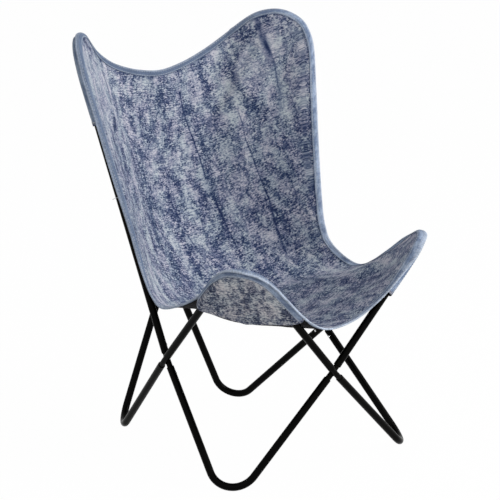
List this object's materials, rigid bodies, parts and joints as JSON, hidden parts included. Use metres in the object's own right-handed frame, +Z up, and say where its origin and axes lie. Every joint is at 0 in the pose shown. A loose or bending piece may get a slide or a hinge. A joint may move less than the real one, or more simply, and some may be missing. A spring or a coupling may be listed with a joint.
{
  "type": "butterfly sling chair",
  "caption": "Lounge chair of crossed, bent steel tubes that plug together with snap buttons, with a washed canvas sling hung by pockets on its top corners.",
  "frame": {"origin": "on the floor, under the middle of the chair's bounding box", "axes": "+Z up, -Y the way the chair faces, +X to the right as seen from in front of it"},
  "size_m": [0.638, 0.64, 0.8987],
  "materials": {
    "frame_coat": "glossy black powder coat",
    "joint_steel": "black coat",
    "button": "bright zinc",
    "spring": "blued spring steel",
    "canvas": "stone-washed woven cotton",
    "pocket_canvas": "stone-washed woven cotton",
    "tape": "faded cotton tape"
  },
  "bodies": {
    "chair": {"front_corner_tube_left": "frame_coat", "front_corner_tube_right": "frame_coat", "back_corner_tube_left": "frame_coat", "back_corner_tube_right": "frame_coat", "foot_tube_front_left": "frame_coat", "foot_tube_front_right": "frame_coat", "foot_tube_back_left": "frame_coat", "foot_tube_back_right": "frame_coat", "cross_joint_left": "joint_steel", "cross_joint_right": "joint_steel", "cross_joint_front": "joint_steel", "cross_joint_back": "joint_steel", "snap_spring_front_corner_left_side": "spring", "snap_spring_front_corner_left_mid": "spring", "snap_spring_front_corner_right_side": "spring", "snap_spring_front_corner_right_mid": "spring", "snap_spring_back_corner_left_side": "spring", "snap_spring_back_corner_left_mid": "spring", "snap_spring_back_corner_right_side": "spring", "snap_spring_back_corner_right_mid": "spring", "snap_spring_foot_front_left_side": "spring", "snap_spring_foot_front_left_mid": "spring", "snap_spring_foot_front_right_side": "spring", "snap_spring_foot_front_right_mid": "spring", "snap_spring_foot_back_left_side": "spring", "snap_spring_foot_back_left_mid": "spring", "snap_spring_foot_back_right_side": "spring", "snap_spring_foot_back_right_mid": "spring", "sling_panel": "canvas", "edge_tape": "tape", "corner_pocket_front_left": "pocket_canvas", "corner_pocket_front_right": "pocket_canvas", "corner_pocket_back_left": "pocket_canvas", "corner_pocket_back_right": "pocket_canvas"},
    "button_front_corner_left_side": {"snap_button_front_corner_left_side": "button"},
    "button_front_corner_left_mid": {"snap_button_front_corner_left_mid": "button"},
    "button_front_corner_right_side": {"snap_button_front_corner_right_side": "button"},
    "button_front_corner_right_mid": {"snap_button_front_corner_right_mid": "button"},
    "button_back_corner_left_side": {"snap_button_back_corner_left_side": "button"},
    "button_back_corner_left_mid": {"snap_button_back_corner_left_mid": "button"},
    "button_back_corner_right_side": {"snap_button_back_corner_right_side": "button"},
    "button_back_corner_right_mid": {"snap_button_back_corner_right_mid": "button"},
    "button_foot_front_left_side": {"snap_button_foot_front_left_side": "button"},
    "button_foot_front_left_mid": {"snap_button_foot_front_left_mid": "button"},
    "button_foot_front_right_side": {"snap_button_foot_front_right_side": "button"},
    "button_foot_front_right_mid": {"snap_button_foot_front_right_mid": "button"},
    "button_foot_back_left_side": {"snap_button_foot_back_left_side": "button"},
    "button_foot_back_left_mid": {"snap_button_foot_back_left_mid": "button"},
    "button_foot_back_right_side": {"snap_button_foot_back_right_side": "button"},
    "button_foot_back_right_mid": {"snap_button_foot_back_right_mid": "button"}
  },
  "joints": [
    {"name": "press_front_corner_left_side", "type": "slide", "parent": "chair", "child": "button_front_corner_left_side", "axis": [-0.9952, 0.0699, -0.0684], "range_m": [0, 0.0038], "stiffness_N_per_m": 1500, "springref_m": -0.002, "deforming": ["snap_spring_front_corner_left_side"]},
    {"name": "press_front_corner_left_mid", "type": "slide", "parent": "chair", "child": "button_front_corner_left_mid", "axis": [0.0293, -0.999, -0.0329], "range_m": [0, 0.0038], "stiffness_N_per_m": 1500, "springref_m": -0.002, "deforming": ["snap_spring_front_corner_left_mid"]},
    {"name": "press_front_corner_right_side", "type": "slide", "parent": "chair", "child": "button_front_corner_right_side", "axis": [0.9951, 0.0712, -0.0694], "range_m": [0, 0.0038], "stiffness_N_per_m": 1500, "springref_m": -0.002, "deforming": ["snap_spring_front_corner_right_side"]},
    {"name": "press_front_corner_right_mid", "type": "slide", "parent": "chair", "child": "button_front_corner_right_mid", "axis": [-0.0502, -0.9971, -0.0564], "range_m": [0, 0.0038], "stiffness_N_per_m": 1500, "springref_m": -0.002, "deforming": ["snap_spring_front_corner_right_mid"]},
    {"name": "press_back_corner_left_side", "type": "slide", "parent": "chair", "child": "button_back_corner_left_side", "axis": [-0.9902, -0.0375, -0.1347], "range_m": [0, 0.0038], "stiffness_N_per_m": 1500, "springref_m": -0.002, "deforming": ["snap_spring_back_corner_left_side"]},
    {"name": "press_back_corner_left_mid", "type": "slide", "parent": "chair", "child": "button_back_corner_left_mid", "axis": [-0.0055, 0.9999, 0.0129], "range_m": [0, 0.0038], "stiffness_N_per_m": 1500, "springref_m": -0.002, "deforming": ["snap_spring_back_corner_left_mid"]},
    {"name": "press_back_corner_right_side", "type": "slide", "parent": "chair", "child": "button_back_corner_right_side", "axis": [0.9904, -0.0369, -0.1332], "range_m": [0, 0.0038], "stiffness_N_per_m": 1500, "springref_m": -0.002, "deforming": ["snap_spring_back_corner_right_side"]},
    {"name": "press_back_corner_right_mid", "type": "slide", "parent": "chair", "child": "button_back_corner_right_mid", "axis": [0.0119, 0.9995, 0.0279], "range_m": [0, 0.0038], "stiffness_N_per_m": 1500, "springref_m": -0.002, "deforming": ["snap_spring_back_corner_right_mid"]},
    {"name": "press_foot_front_left_side", "type": "slide", "parent": "chair", "child": "button_foot_front_left_side", "axis": [-0.9918, 0.0897, 0.0906], "range_m": [0, 0.0038], "stiffness_N_per_m": 1500, "springref_m": -0.002, "deforming": ["snap_spring_foot_front_left_side"]},
    {"name": "press_foot_front_left_mid", "type": "slide", "parent": "chair", "child": "button_foot_front_left_mid", "axis": [-0.0475, -0.9978, -0.0459], "range_m": [0, 0.0038], "stiffness_N_per_m": 1500, "springref_m": -0.002, "deforming": ["snap_spring_foot_front_left_mid"]},
    {"name": "press_foot_front_right_side", "type": "slide", "parent": "chair", "child": "button_foot_front_right_side", "axis": [0.9921, 0.0882, 0.0893], "range_m": [0, 0.0038], "stiffness_N_per_m": 1500, "springref_m": -0.002, "deforming": ["snap_spring_foot_front_right_side"]},
    {"name": "press_foot_front_right_mid", "type": "slide", "parent": "chair", "child": "button_foot_front_right_mid", "axis": [0.0726, -0.9949, -0.0699], "range_m": [0, 0.0038], "stiffness_N_per_m": 1500, "springref_m": -0.002, "deforming": ["snap_spring_foot_front_right_mid"]},
    {"name": "press_foot_back_left_side", "type": "slide", "parent": "chair", "child": "button_foot_back_left_side", "axis": [-0.9839, 0.1293, -0.1237], "range_m": [0, 0.0038], "stiffness_N_per_m": 1500, "springref_m": -0.002, "deforming": ["snap_spring_foot_back_left_side"]},
    {"name": "press_foot_back_left_mid", "type": "slide", "parent": "chair", "child": "button_foot_back_left_mid", "axis": [-0.02, 0.9988, -0.0451], "range_m": [0, 0.0038], "stiffness_N_per_m": 1500, "springref_m": -0.002, "deforming": ["snap_spring_foot_back_left_mid"]},
    {"name": "press_foot_back_right_side", "type": "slide", "parent": "chair", "child": "button_foot_back_right_side", "axis": [0.9842, 0.1279, -0.1221], "range_m": [0, 0.0038], "stiffness_N_per_m": 1500, "springref_m": -0.002, "deforming": ["snap_spring_foot_back_right_side"]},
    {"name": "press_foot_back_right_mid", "type": "slide", "parent": "chair", "child": "button_foot_back_right_mid", "axis": [0.0076, 0.9998, -0.0172], "range_m": [0, 0.0038], "stiffness_N_per_m": 1500, "springref_m": -0.002, "deforming": ["snap_spring_foot_back_right_mid"]}
  ]
}
